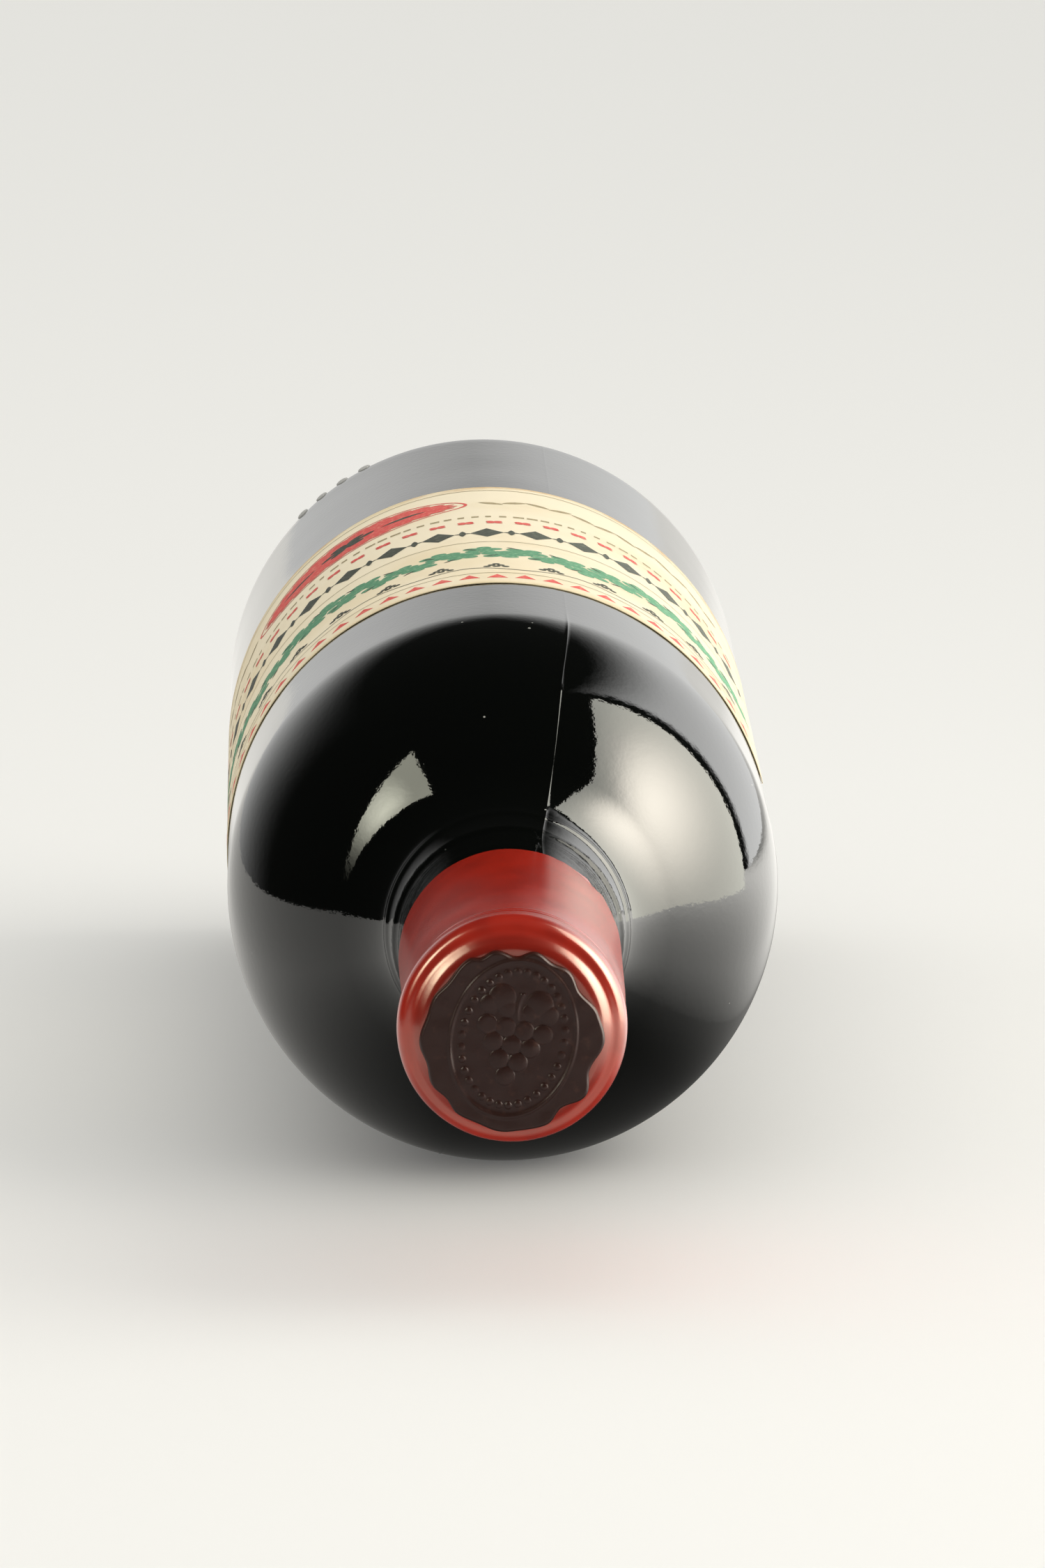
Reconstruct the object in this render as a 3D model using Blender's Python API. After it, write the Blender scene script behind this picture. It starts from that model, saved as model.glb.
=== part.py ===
"""A full wine bottle lying on its side: dark glass, a neck capsule, a seal on its top and a front label.

The bottle's axis runs along Y. Its neck points to -Y, its base to +Y, and it rests on the plane Z = 0.
Lengths are in millimetres from the capsule's top face and are turned to metres when a mesh is made.
"""

import math

import bmesh
import bpy
from mathutils import Matrix, Vector

MM = 0.001

# Glass: a standard Bordeaux shape
BODY_RADIUS = 38.0
CAPSULE_TOP_TO_BASE = 300.0
SHOULDER_START = 114.4
SHOULDER_RADIUS = 38.0
NECK_ROOT_RADIUS = 20.0
NECK_RADIUS_AT_ROOT = 14.5
NECK_RADIUS_AT_TOP = 13.6
HEEL_RADIUS = 9.0
FOOT_RADIUS = 27.5
PUNT_MOUTH_RADIUS = 24.0
PUNT_DEPTH = 24.0
FLAT_HALF_ANGLE = math.radians(11.0)

# Ring of glass at the lip, under the capsule
LIP_RING_RADIUS = 14.2
LIP_RING_END = 6.0
LIP_EDGE_RADIUS = 2.0

# Row of mould dots on the heel
DOT_COUNT = 4
DOT_FROM_BASE = 9.6
DOT_RADIUS = 0.9
DOT_HEIGHT = 0.45
DOT_FIRST_ANGLE = math.radians(-28.1)
DOT_STEP = math.radians(-5.8)

# Capsule: a spun metal skin round the neck and over the lip
SKIN = 0.45
GAP = 0.3
CAPSULE_LENGTH = 55.0
CAPSULE_RING_RADIUS = 15.0
CAPSULE_WAIST_RADIUS = 14.55
CAPSULE_HEM_RADIUS = 14.95
CAPSULE_EDGE_RADIUS = 2.4
CAPSULE_WAIST = 8.6
CAPSULE_EDGE_STEPS = 5

# Seal: a pressed disc with an oval frame round a bunch of grapes
SEAL_THICKNESS = 0.9
SEAL_BEVEL = 0.35
SEAL_CENTRE = (0.0, -1.1)
SEAL_TILT = math.radians(-12.0)
SEAL_EDGE_STEPS = 120
OVAL_HALF_WIDTH = 8.15
OVAL_HALF_HEIGHT = 10.4
OVAL_RISE = 0.5
OVAL_LINE = 0.35
GRAPE_RADIUS = 1.4
GRAPE_ROWS = (4, 3, 2, 1)
RELIEF = 0.4

# The wax squeezed out into uneven lobes: degrees from straight up towards +X, and radius there
SEAL_EDGE = (
    (3, 11.2), (15, 12.2), (28, 11.6), (38, 11.9), (54, 11.0), (72, 11.8), (88, 12.1), (110, 10.8),
    (127, 12.0), (144, 10.9), (158, 11.9), (174, 11.8), (187, 12.0), (204, 11.7), (217, 11.9), (229, 11.4),
    (242, 11.9), (255, 11.5), (270, 12.1), (288, 11.6), (300, 11.8), (312, 11.5), (333, 12.3), (340, 11.8),
    (349, 12.2),
)

# Label: paper round the front of the body
LABEL_NEAR = 142.6
LABEL_HEIGHT = 96.0
LABEL_WIDTH = 116.0
LABEL_MIDDLE = math.radians(-12.0)
LABEL_THICKNESS = 0.2

SEGMENTS = 64
ARC_STEPS = 6
SEAL_FRONT = GAP + SEAL_THICKNESS + RELIEF
TOTAL_LENGTH = CAPSULE_TOP_TO_BASE + SEAL_FRONT
AXIS_HEIGHT = BODY_RADIUS * math.cos(FLAT_HALF_ANGLE)


def clear_scene():
    for obj in list(bpy.data.objects):
        bpy.data.objects.remove(obj)


def y_of(along):
    """World Y in millimetres of a distance from the capsule's top face."""
    return along - TOTAL_LENGTH / 2 + SEAL_FRONT


def point(along, radius, angle):
    """World position in metres; the angle is from straight up, towards +X."""
    x = radius * math.sin(angle)
    z = AXIS_HEIGHT + radius * math.cos(angle)
    return Vector((x, y_of(along), z)) * MM


def arc(centre, radius, start, end, steps=ARC_STEPS):
    """Points (along, radius) on an arc of the profile; angles in degrees, 90 is outwards."""
    points = []
    for i in range(steps + 1):
        a = math.radians(start + (end - start) * i / steps)
        points.append((centre[0] + radius * math.cos(a), centre[1] + radius * math.sin(a)))
    return points


def shoulder_arcs():
    """The concave and convex arcs that carry the neck into the body, neck first."""
    convex = (SHOULDER_START, BODY_RADIUS - SHOULDER_RADIUS)
    rise = NECK_RADIUS_AT_ROOT + NECK_ROOT_RADIUS - convex[1]
    reach = SHOULDER_RADIUS + NECK_ROOT_RADIUS
    concave = (SHOULDER_START - math.sqrt(reach**2 - rise**2), convex[1] + rise)
    lean = math.degrees(math.acos(rise / reach))
    return (
        arc(concave, NECK_ROOT_RADIUS, -90, -90 + lean)
        + arc(convex, SHOULDER_RADIUS, 90 + lean, 90, 2 * ARC_STEPS - 2)[1:]
    )


def punt_points():
    """From the foot's inner edge up the inside of the punt to its tip on the axis."""
    base = CAPSULE_TOP_TO_BASE
    steps = ARC_STEPS + 2
    points = []
    for i in range(steps + 1):
        t = i / steps
        radius = PUNT_MOUTH_RADIUS * (1 - t)
        rise = PUNT_DEPTH * (0.5 - 0.5 * math.cos(math.pi * t)) ** 0.8
        points.append((base - 0.4 - rise, radius))
    return points


def glass_profile():
    """Outline of the bottle from the lip's centre round to the punt's tip."""
    base = CAPSULE_TOP_TO_BASE
    lip = SKIN + GAP
    heel = (base - HEEL_RADIUS, BODY_RADIUS - HEEL_RADIUS)
    return (
        [(lip, 0.0)]
        + arc((lip + LIP_EDGE_RADIUS, LIP_RING_RADIUS - LIP_EDGE_RADIUS), LIP_EDGE_RADIUS, 180, 90, 3)
        + [(LIP_RING_END, LIP_RING_RADIUS), (LIP_RING_END + 1.2, NECK_RADIUS_AT_TOP - 0.3)]
        + [(CAPSULE_WAIST + 2.0, NECK_RADIUS_AT_TOP - 0.2)]
        + shoulder_arcs()
        + [((SHOULDER_START + base - HEEL_RADIUS) / 2, BODY_RADIUS)]
        + arc(heel, HEEL_RADIUS, 90, 30, 5)
        + [(base - 0.9, FOOT_RADIUS + 2.6), (base, FOOT_RADIUS), (base, PUNT_MOUTH_RADIUS + 1.0)]
        + punt_points()
    )


def capsule_outline():
    """Outer face of the capsule from the middle of its top to its hem."""
    edge = (CAPSULE_EDGE_RADIUS, CAPSULE_RING_RADIUS - CAPSULE_EDGE_RADIUS)
    waist = CAPSULE_WAIST_RADIUS
    return (
        [(0.0, 0.0)]
        + arc(edge, CAPSULE_EDGE_RADIUS, 180, 90, CAPSULE_EDGE_STEPS)
        + [(LIP_RING_END, CAPSULE_RING_RADIUS), (LIP_RING_END + 0.9, CAPSULE_RING_RADIUS - 0.25)]
        + [(CAPSULE_WAIST - 1.0, waist + 0.05), (CAPSULE_WAIST, waist), (CAPSULE_LENGTH, CAPSULE_HEM_RADIUS)]
    )


def capsule_profile():
    """The outer face, then the inner face back to the axis, one skin inside it."""
    outer = capsule_outline()
    inner_edge = CAPSULE_EDGE_RADIUS - SKIN
    edge = (CAPSULE_EDGE_RADIUS, CAPSULE_RING_RADIUS - CAPSULE_EDGE_RADIUS)
    inner = [(along, radius - SKIN) for along, radius in outer[2 + CAPSULE_EDGE_STEPS :]]
    inner = inner[::-1] + arc(edge, inner_edge, 90, 180, 3) + [(SKIN, 0.0)]
    return outer + inner


def lathe(name, profile):
    """A closed body turned round the bottle's axis from a profile that starts and ends on it."""
    bm = bmesh.new()
    verts = [bm.verts.new(point(along, radius, 0.0)) for along, radius in profile]
    edges = [bm.edges.new(pair) for pair in zip(verts, verts[1:])]
    centre = Vector((0.0, 0.0, AXIS_HEIGHT * MM))
    bmesh.ops.spin(
        bm, geom=verts + edges, cent=centre, axis=(0, 1, 0), dvec=(0, 0, 0),
        angle=2 * math.pi, steps=SEGMENTS, use_merge=True,
    )
    bmesh.ops.remove_doubles(bm, verts=bm.verts, dist=1e-6)
    bmesh.ops.recalc_face_normals(bm, faces=bm.faces)
    return finish_mesh(name, bm)


def finish_mesh(name, bm):
    mesh = bpy.data.meshes.new(name)
    bm.to_mesh(mesh)
    bm.free()
    mesh.shade_smooth()
    mesh.set_sharp_from_angle(angle=math.radians(35))
    obj = bpy.data.objects.new(name, mesh)
    bpy.context.scene.collection.objects.link(obj)
    return obj


def flatten_underside(obj):
    """Presses the lowest strip of the body to a flat, about 15 mm wide, that it rests on."""
    for vert in obj.data.vertices:
        vert.co.z = max(vert.co.z, 0.0)


def fuse(obj, extras, name):
    """Joins extra closed meshes into obj with one Boolean union, then removes them."""
    collection = bpy.data.collections.new(name)
    bpy.context.scene.collection.children.link(collection)
    for extra in extras:
        bpy.context.scene.collection.objects.unlink(extra)
        collection.objects.link(extra)
    modifier = obj.modifiers.new("fuse", "BOOLEAN")
    modifier.operation = "UNION"
    modifier.operand_type = "COLLECTION"
    modifier.collection = collection
    modifier.solver = "EXACT"
    graph = bpy.context.evaluated_depsgraph_get()
    mesh = bpy.data.meshes.new_from_object(obj.evaluated_get(graph))
    obj.modifiers.clear()
    obj.data = mesh
    for extra in extras:
        bpy.data.objects.remove(extra)
    bpy.data.collections.remove(collection)


def dome(name, centre, outward, radius, height, rings=3):
    """A flattened ball, squashed along the outward direction."""
    bm = bmesh.new()
    bmesh.ops.create_uvsphere(bm, u_segments=8, v_segments=2 * rings, radius=1.0)
    turn = Vector(outward).to_track_quat("Z", "Y").to_matrix().to_4x4()
    size = Matrix.Diagonal((radius * MM, radius * MM, height * MM, 1.0))
    bmesh.ops.transform(bm, matrix=Matrix.Translation(centre) @ turn @ size, verts=bm.verts)
    return finish_mesh(name, bm)


def heel_dots():
    """The mould's row of raised dots round part of the heel."""
    dots = []
    for i in range(DOT_COUNT):
        angle = DOT_FIRST_ANGLE + i * DOT_STEP
        centre = point(CAPSULE_TOP_TO_BASE - DOT_FROM_BASE, BODY_RADIUS - 0.05, angle)
        outward = (math.sin(angle), 0.0, math.cos(angle))
        dots.append(dome(f"dot_{i}", centre, outward, DOT_RADIUS, DOT_HEIGHT))
    return dots


def seal_point(across, up, height):
    """A point on the seal's face, from its own upright axes; height is in front of the seal's back."""
    x = SEAL_CENTRE[0] + across * math.cos(SEAL_TILT) - up * math.sin(SEAL_TILT)
    z = SEAL_CENTRE[1] + across * math.sin(SEAL_TILT) + up * math.cos(SEAL_TILT)
    return Vector((x, y_of(-GAP - height), AXIS_HEIGHT + z)) * MM


def seal_edge_radius(angle):
    """Radius of the lobed edge at an angle of the seal's own axes."""
    turn = math.degrees(math.pi / 2 - angle - SEAL_TILT) % 360
    for (start, low), (end, high) in zip(SEAL_EDGE, SEAL_EDGE[1:] + SEAL_EDGE[:1]):
        span = (end - start) % 360
        share = (turn - start) % 360 / span
        if share <= 1:
            return low + (high - low) * (0.5 - 0.5 * math.cos(math.pi * share))
    raise ValueError(angle)


def seal_disc():
    """The flat disc with its lobed, bevelled edge."""
    steps = SEAL_EDGE_STEPS
    bm = bmesh.new()
    rings = []
    for inset, height in ((0.0, 0.0), (0.0, SEAL_THICKNESS - SEAL_BEVEL), (SEAL_BEVEL, SEAL_THICKNESS)):
        ring = []
        for i in range(steps):
            angle = 2 * math.pi * i / steps
            radius = seal_edge_radius(angle) - inset
            ring.append(bm.verts.new(seal_point(radius * math.cos(angle), radius * math.sin(angle), height)))
        rings.append(ring)
    bm.faces.new(rings[0])
    bm.faces.new(rings[-1][::-1])
    for low, high in zip(rings, rings[1:]):
        for i in range(steps):
            j = (i + 1) % steps
            bm.faces.new((low[i], high[i], high[j], low[j]))
    bmesh.ops.recalc_face_normals(bm, faces=bm.faces)
    return finish_mesh("seal", bm)


def oval_frame():
    """The raised oval line round the seal's picture."""
    around, section = 48, 6
    bm = bmesh.new()
    rings = []
    for i in range(around):
        a = 2 * math.pi * i / around
        ring = []
        for j in range(section):
            b = 2 * math.pi * j / section
            reach = OVAL_LINE * math.cos(b)
            across = (OVAL_HALF_WIDTH + reach) * math.cos(a)
            up = OVAL_RISE + (OVAL_HALF_HEIGHT + reach) * math.sin(a)
            height = SEAL_THICKNESS + (RELIEF - 0.05) * math.sin(b)
            ring.append(bm.verts.new(seal_point(across, up, height)))
        rings.append(ring)
    for i in range(around):
        near, far = rings[i], rings[(i + 1) % around]
        for j in range(section):
            k = (j + 1) % section
            bm.faces.new((near[j], far[j], far[k], near[k]))
    bmesh.ops.recalc_face_normals(bm, faces=bm.faces)
    return finish_mesh("oval", bm)


def grapes():
    """A hanging bunch: rows of berries that narrow downwards."""
    berries = []
    for row, count in enumerate(GRAPE_ROWS):
        for i in range(count):
            across = (i - (count - 1) / 2) * 1.75 * GRAPE_RADIUS
            up = 1.8 - row * 1.5 * GRAPE_RADIUS
            centre = seal_point(across, up, SEAL_THICKNESS)
            berries.append(dome(f"berry_{row}_{i}", centre, (0, -1, 0), GRAPE_RADIUS, RELIEF, 2))
    return berries


def leaf(side):
    """One rounded vine leaf beside the stalk, on the given side (-1 or 1)."""
    centre = seal_point(side * 2.5, 5.4, SEAL_THICKNESS)
    return dome(f"leaf_{side}", centre, (0, -1, 0), 2.1, RELIEF - 0.05, 2)


def label():
    """A thin curved sheet round the front of the body."""
    steps = 44
    half = 0.5 * LABEL_WIDTH / BODY_RADIUS
    inner = BODY_RADIUS + GAP
    outer = inner + LABEL_THICKNESS
    ends = (LABEL_NEAR, LABEL_NEAR + LABEL_HEIGHT)
    bm = bmesh.new()
    sections = []
    for i in range(steps + 1):
        angle = LABEL_MIDDLE - half + 2 * half * i / steps
        corners = ((ends[0], inner), (ends[1], inner), (ends[1], outer), (ends[0], outer))
        sections.append([bm.verts.new(point(along, radius, angle)) for along, radius in corners])
    bm.faces.new(sections[0])
    bm.faces.new(sections[-1][::-1])
    for near, far in zip(sections, sections[1:]):
        for j in range(4):
            k = (j + 1) % 4
            bm.faces.new((near[j], far[j], far[k], near[k]))
    bmesh.ops.recalc_face_normals(bm, faces=bm.faces)
    return finish_mesh("front_label", bm)


def material(name, colour, roughness, metallic):
    made = bpy.data.materials.new(name)
    made.use_nodes = True
    shader = made.node_tree.nodes["Principled BSDF"]
    shader.inputs["Base Color"].default_value = (*colour, 1.0)
    shader.inputs["Roughness"].default_value = roughness
    shader.inputs["Metallic"].default_value = metallic
    return made


def main():
    clear_scene()

    glass = lathe("glass_bottle", glass_profile())
    flatten_underside(glass)
    fuse(glass, heel_dots(), "dots")
    glass.data.materials.append(material("dark_glass", (0.006, 0.008, 0.006), 0.05, 0.0))

    capsule = lathe("capsule", capsule_profile())
    capsule.data.materials.append(material("red_capsule", (0.36, 0.02, 0.012), 0.3, 0.3))

    seal = seal_disc()
    fuse(seal, [oval_frame(), *grapes(), leaf(-1), leaf(1)], "picture")
    seal.data.materials.append(material("brown_seal", (0.02, 0.013, 0.011), 0.4, 0.0))

    paper = label()
    paper.data.materials.append(material("cream_paper", (0.82, 0.72, 0.5), 0.7, 0.0))


main()
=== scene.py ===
"""The looks of a full wine bottle that lies on its side, label up, with its neck towards the camera.

Lengths are in millimetres until a point is made, and angles round the bottle are in radians, counted
from straight up towards +X. "Along" is the distance from the capsule's top face towards the base.
"""

import logging
import math
import random
from dataclasses import dataclass, field
from enum import Enum
from typing import Callable, Iterable, Sequence

import bmesh
import bpy
from mathutils import Euler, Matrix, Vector, noise


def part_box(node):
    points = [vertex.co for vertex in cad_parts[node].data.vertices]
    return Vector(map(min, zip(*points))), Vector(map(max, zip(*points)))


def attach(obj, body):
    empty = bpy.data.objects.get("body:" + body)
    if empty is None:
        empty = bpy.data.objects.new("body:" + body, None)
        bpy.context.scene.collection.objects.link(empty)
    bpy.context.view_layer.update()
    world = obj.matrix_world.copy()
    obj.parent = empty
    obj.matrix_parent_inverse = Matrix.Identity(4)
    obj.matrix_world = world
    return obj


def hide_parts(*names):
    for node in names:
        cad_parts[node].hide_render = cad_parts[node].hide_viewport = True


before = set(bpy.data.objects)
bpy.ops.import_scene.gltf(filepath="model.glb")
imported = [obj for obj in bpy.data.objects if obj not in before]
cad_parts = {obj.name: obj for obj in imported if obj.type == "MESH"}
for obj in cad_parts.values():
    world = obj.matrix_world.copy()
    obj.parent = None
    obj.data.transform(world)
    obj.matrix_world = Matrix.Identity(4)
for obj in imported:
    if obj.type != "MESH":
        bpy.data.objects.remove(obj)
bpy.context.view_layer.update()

MM = 0.001
LOG = logging.getLogger("wine_bottle")
Pair = tuple[float, float]


class Slot(Enum):
    """The record's material slots."""

    GLASS = "dark_glass"
    CAPSULE = "red_capsule"
    SEAL = "brown_seal"
    PAPER = "cream_paper"


class Ink(Enum):
    """The label's printing inks, by the order of their material slots."""

    RED = 0
    GREEN = 1
    BLACK = 2
    SEPIA = 3


def linear(code: str) -> tuple[float, float, float, float]:
    """Turns an sRGB hex colour to linear.

    Args:
        code: six hex digits, such as "8F1A0F".

    Returns:
        Red, green, blue and alpha, linear.
    """
    parts = []
    for i in (0, 2, 4):
        c = int(code[i : i + 2], 16) / 255
        parts.append(c / 12.92 if c <= 0.04045 else ((c + 0.055) / 1.055) ** 2.4)
    return (*parts, 1.0)


@dataclass(frozen=True)
class BottleFrame:
    """Where the bottle lies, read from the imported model.

    Args:
        top: world Y of the capsule's top face, in millimetres.
        axis: height of the bottle's axis, in millimetres.
        radius: the body's radius, in millimetres.
    """

    top: float
    axis: float
    radius: float

    @classmethod
    def from_nodes(cls) -> "BottleFrame":
        """Reads the frame from the boxes of the CAD nodes.

        Returns:
            The frame.
        """
        low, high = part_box("glass_bottle")
        radius = (high.x - low.x) / 2 / MM
        return cls(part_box("capsule")[0].y / MM, high.z / MM - radius, radius)

    def point(self, along: float, radius: float, angle: float) -> Vector:
        """Places a point of the round bottle in the world.

        Args:
            along: distance from the capsule's top face.
            radius: distance from the axis.
            angle: angle from straight up, towards +X.

        Returns:
            The world position in metres.
        """
        x = radius * math.sin(angle)
        z = self.axis + radius * math.cos(angle)
        return Vector((x, self.top + along, z)) * MM

    def centre(self, along: float) -> Vector:
        """A point on the axis, in metres."""
        return Vector((0.0, self.top + along, self.axis)) * MM


FRAME = BottleFrame.from_nodes()
SMOOTH = {"interpolation_type": "SMOOTHSTEP"}
COLOURS = {"data_type": "RGBA"}


def per_mm(size: float) -> float:
    """Scale of a texture whose features are that many millimetres apart."""
    return 1 / (size * MM)


class Graph:
    """A node tree, with one function that adds a node with its settings and links."""

    def __init__(self, tree: bpy.types.NodeTree) -> None:
        """Wraps a tree."""
        self.tree = tree

    def add(
        self, kind: str, inputs: dict | Sequence | None = None, output: int | str = 0, **settings: object,
    ) -> bpy.types.NodeSocket | None:
        """Adds a node.

        Args:
            kind: the node's type name after "ShaderNode", such as "TexNoise".
            inputs: a value or another node's output socket for each input, by name or in order.
            output: name or number of the output that is wanted.
            settings: properties of the node, by name.

        Returns:
            That output socket, or None of a node without outputs.
        """
        node = self.tree.nodes.new("ShaderNode" + kind)
        for name, value in settings.items():
            setattr(node, name, value)
        pairs = inputs.items() if isinstance(inputs, dict) else enumerate(inputs or ())
        for socket, value in pairs:
            if isinstance(value, bpy.types.NodeSocket):
                self.tree.links.new(value, node.inputs[socket])
            else:
                node.inputs[socket].default_value = value
        return node.outputs[output] if len(node.outputs) else None


class Shader(Graph):
    """A material's node tree, which ends in a Principled shader."""

    def __init__(self, name: str) -> None:
        """Makes the material.

        Args:
            name: the material's name.
        """
        self.material = bpy.data.materials.new(name)
        self.material.use_nodes = True
        super().__init__(self.material.node_tree)
        self.surface = self.tree.nodes["Principled BSDF"]

    def set(self, **values: object) -> None:
        """Sets or links sockets of the Principled shader.

        Args:
            values: a value or another node's output by the socket's name, with _ for a space.
        """
        for name, value in values.items():
            socket = self.surface.inputs[name.replace("_", " ")]
            if isinstance(value, bpy.types.NodeSocket):
                self.tree.links.new(value, socket)
            else:
                socket.default_value = value

    def glow(self, colour: object, strength: object) -> bpy.types.Material:
        """Makes the surface black but for its own light.

        Args:
            colour: colour of the light, as a value or a socket.
            strength: its strength, as a value or a socket.

        Returns:
            The material.
        """
        self.set(Base_Color=(0.0, 0.0, 0.0, 1.0), Specular_IOR_Level=0.0)
        self.set(Emission_Color=colour, Emission_Strength=strength)
        return self.material


@dataclass(frozen=True)
class BottleGlass:
    """Green-black soda-lime container glass, blown in a mould, opaque with the red wine behind it.

    The eye gets near black with sharp reflections, a faint orange peel and a little dust. The specks of
    dust are really finer, and are drawn coarse enough to show.
    """

    body: str = "040504"
    dust: str = "A8A8A0"
    ior: float = 1.52
    roughness: float = 0.035
    peel_mm: float = 1.1
    peel_depth_mm: float = 0.010
    grain_mm: float = 0.44
    grain_depth_mm: float = 0.004
    dust_spacing_mm: float = 7.0
    dust_share: float = 0.03
    shuffle: float = 7.31

    def make(self) -> bpy.types.Material:
        """Builds the glass.

        Returns:
            The material.
        """
        s = Shader("moulded_bottle_glass")
        place = s.add("TexCoord", output="Object")
        cells = {"Vector": place, "Scale": per_mm(self.dust_spacing_mm)}
        shuffled = s.add("Math", (s.add("TexVoronoi", cells, "Color"), self.shuffle), operation="MULTIPLY")
        chance = s.add("Math", (shuffled,), operation="FRACT")
        size = s.add("Math", (chance, self.dust_share), operation="MULTIPLY")
        speck = s.add("Math", (s.add("TexVoronoi", cells, "Distance"), size), operation="LESS_THAN")
        colour = s.add("Mix", {0: speck, 6: linear(self.body), 7: linear(self.dust)}, 2, **COLOURS)
        waves = s.add("TexNoise", {"Vector": place, "Scale": per_mm(self.peel_mm)})
        peel = s.add("Bump", {"Distance": self.peel_depth_mm * MM, "Height": waves, "Strength": 1.0})
        fine = s.add("TexNoise", {"Vector": place, "Scale": per_mm(self.grain_mm)})
        depth = self.grain_depth_mm * MM
        grain = s.add("Bump", {"Distance": depth, "Height": fine, "Normal": peel, "Strength": 1.0})
        s.set(Base_Color=colour, IOR=self.ior, Roughness=self.roughness, Normal=grain)
        return s.material


@dataclass(frozen=True)
class DotHighlightGlass:
    """A pale grey on the tips of the mould dots, a painted highlight for the light they catch. The eye gets a
    frosted grey.
    """

    grey: str = "B4B4B0"
    roughness: float = 0.6
    ior: float = 1.52

    def make(self) -> bpy.types.Material:
        """Builds the dots' painted highlight.

        Returns:
            The material.
        """
        s = Shader("dot_painted_highlight_glass")
        s.set(Base_Color=linear(self.grey), Roughness=self.roughness, IOR=self.ior)
        return s.material


@dataclass(frozen=True)
class CapsuleLacquer:
    """Red lacquer on a spun tin skin.

    The eye gets a deep warm red under a soft pink sheen; the top face is a deeper red, painted shade for the
    less light on it.

    Args:
        red: most of the skirt.
        dark: its cloudy darker patches.
        disc: the deeper red of the top face, painted shade.
        sheen: tint of the reflections.
        ior: higher than a lacquer's own, for the bright tin under it.
        roughness: of the sprayed coat.
        cloud_mm: size of the darker patches.
        peel_mm: size of the coat's small waves.
        peel_depth_mm: their depth.
        face_shade_from_mm: where the skirt's red turns to the top face's painted shade, from the top face.
        face_shade_to_mm: where it has turned.
    """

    red: str = "A81F0D"
    dark: str = "961A0B"
    disc: str = "861303"
    sheen: str = "FFEADA"
    ior: float = 1.9
    roughness: float = 0.21
    cloud_mm: float = 6.0
    peel_mm: float = 0.9
    peel_depth_mm: float = 0.012
    face_shade_from_mm: float = 1.5
    face_shade_to_mm: float = 0.6

    def make(self) -> bpy.types.Material:
        """Builds the lacquer.

        Returns:
            The material.
        """
        s = Shader("lacquered_tin")
        place = s.add("TexCoord", output="Object")
        clouds = s.add("TexNoise", {"Vector": place, "Scale": per_mm(self.cloud_mm)})
        patch = s.add("MapRange", (clouds, 0.35, 0.7), **SMOOTH)
        skirt = s.add("Mix", {0: patch, 6: linear(self.red), 7: linear(self.dark)}, 2, **COLOURS)
        y = s.add("SeparateXYZ", (place,), "Y")
        # Painted shade: the top face, which gets less light, is given the deeper red.
        ends = ((FRAME.top + self.face_shade_from_mm) * MM, (FRAME.top + self.face_shade_to_mm) * MM)
        face = s.add("MapRange", (y, *ends), **SMOOTH)
        colour = s.add("Mix", {0: face, 6: skirt, 7: linear(self.disc)}, 2, **COLOURS)
        waves = s.add("TexNoise", {"Vector": place, "Scale": per_mm(self.peel_mm), "Detail": 3.0})
        peel = s.add("Bump", {"Distance": self.peel_depth_mm * MM, "Height": waves, "Strength": 1.0})
        s.set(Base_Color=colour, Normal=peel, Specular_Tint=linear(self.sheen))
        s.set(IOR=self.ior, Roughness=self.roughness)
        return s.material


@dataclass(frozen=True)
class PressedWax:
    """Dark brown sealing wax, pressed with a die.

    The eye gets a near-black brown with a satin gloss that catches on the edges of the relief. Its grain
    is really finer than grain_mm, and is drawn coarse enough to show.
    """

    brown: str = "28110B"
    pale: str = "3A2017"
    ior: float = 1.46
    gloss: float = 0.3
    roughness: float = 0.38
    bloom_mm: float = 1.6
    grain_mm: float = 0.5
    grain_depth_mm: float = 0.02

    def make(self) -> bpy.types.Material:
        """Builds the wax.

        Returns:
            The material.
        """
        s = Shader("pressed_sealing_wax")
        place = s.add("TexCoord", output="Object")
        clouds = s.add("TexNoise", {"Vector": place, "Scale": per_mm(self.bloom_mm), "Detail": 4.0})
        bloom = s.add("MapRange", (clouds, 0.55, 0.8), **SMOOTH)
        colour = s.add("Mix", {0: bloom, 6: linear(self.brown), 7: linear(self.pale)}, 2, **COLOURS)
        fine = s.add("TexNoise", {"Vector": place, "Scale": per_mm(self.grain_mm), "Detail": 3.0})
        grain = s.add("Bump", {"Distance": self.grain_depth_mm * MM, "Height": fine, "Strength": 1.0})
        s.set(Base_Color=colour, Normal=grain, Specular_IOR_Level=self.gloss)
        s.set(IOR=self.ior, Roughness=self.roughness)
        return s.material


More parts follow.
